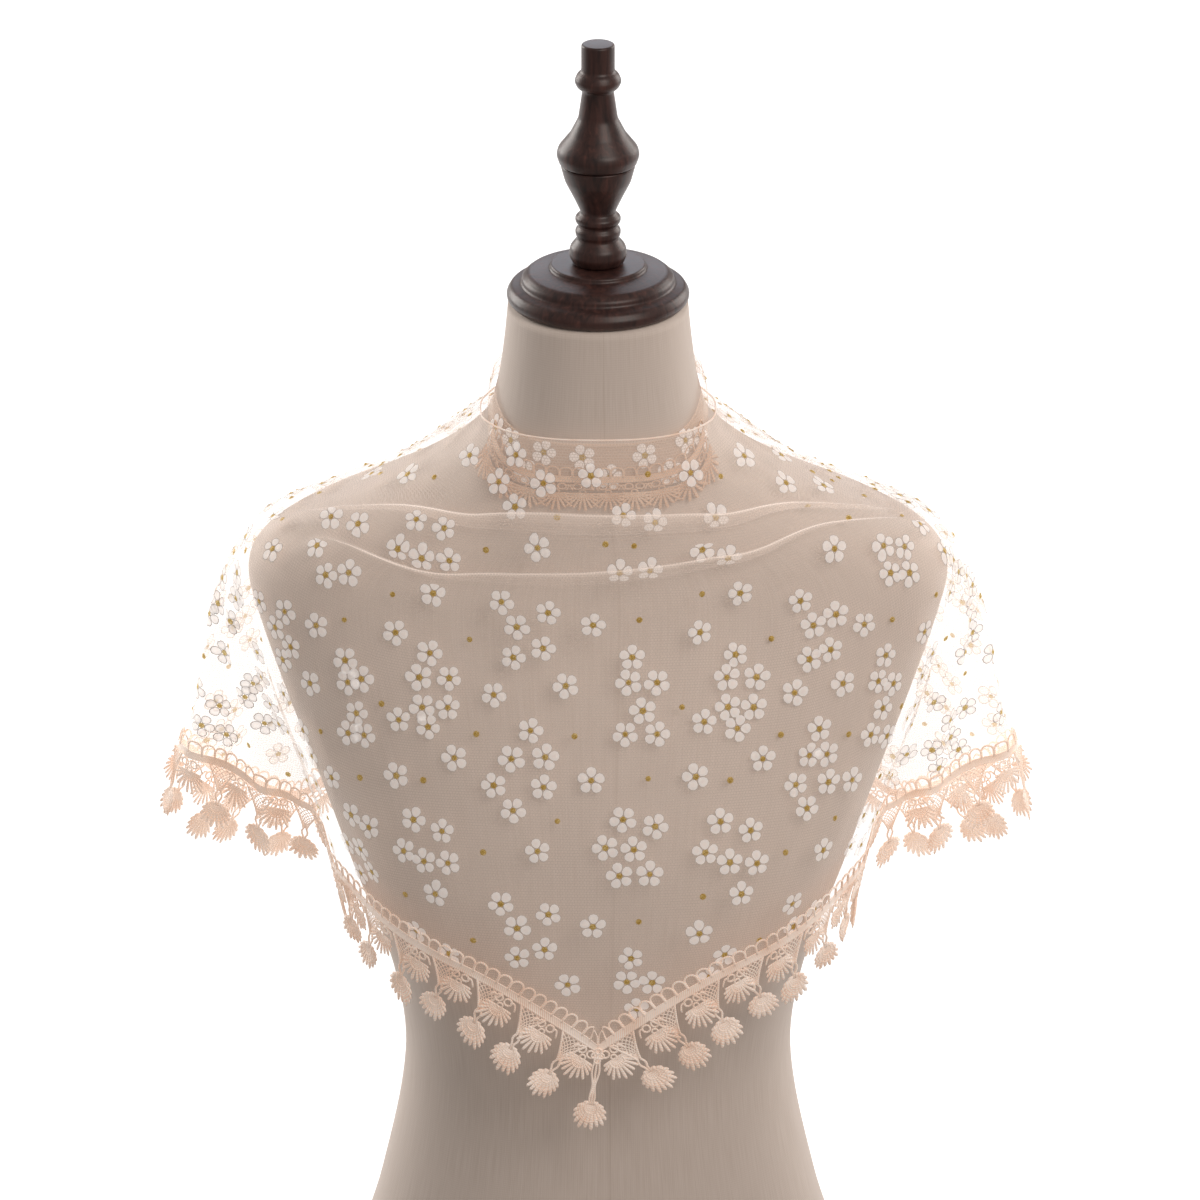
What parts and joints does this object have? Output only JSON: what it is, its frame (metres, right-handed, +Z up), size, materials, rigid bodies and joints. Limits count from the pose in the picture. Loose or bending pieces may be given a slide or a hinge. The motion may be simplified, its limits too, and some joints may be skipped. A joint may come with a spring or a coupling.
{
  "type": "lace shawl on a dress form",
  "caption": "Sheer triangular shawl with a shell lace border, draped over the shoulders of a limbless dress form with a turned wooden neck cap and finial.",
  "frame": {"origin": "centre of the dress form's flat base, on the table", "axes": "+Z up along the form's axis, -Y towards the front of the form, +X to the viewer's right"},
  "size_m": [0.5368, 0.2813, 0.8424],
  "materials": {
    "jersey": "matt beige jersey cover of the form",
    "dark_wood": "dark brown stained and varnished turned wood",
    "tulle": "sheer peach tulle with white flock daisies and gold dots",
    "lace": "peach embroidered shell lace"
  },
  "bodies": {
    "root": {"form_torso": "jersey", "form_neck_cap": "dark_wood", "form_finial_urn": "dark_wood", "form_finial_spire": "dark_wood", "shawl_front": "tulle", "shawl_side_right": "tulle", "shawl_side_left": "tulle", "shawl_back_right": "tulle", "shawl_back_left": "tulle", "shawl_neck_wrap": "tulle", "lace_neck": "lace", "lace_front_right": "lace", "lace_front_left": "lace", "lace_side_right": "lace", "lace_side_left": "lace", "lace_back_right": "lace", "lace_back_left": "lace", "lace_point": "lace"}
  },
  "joints": []
}
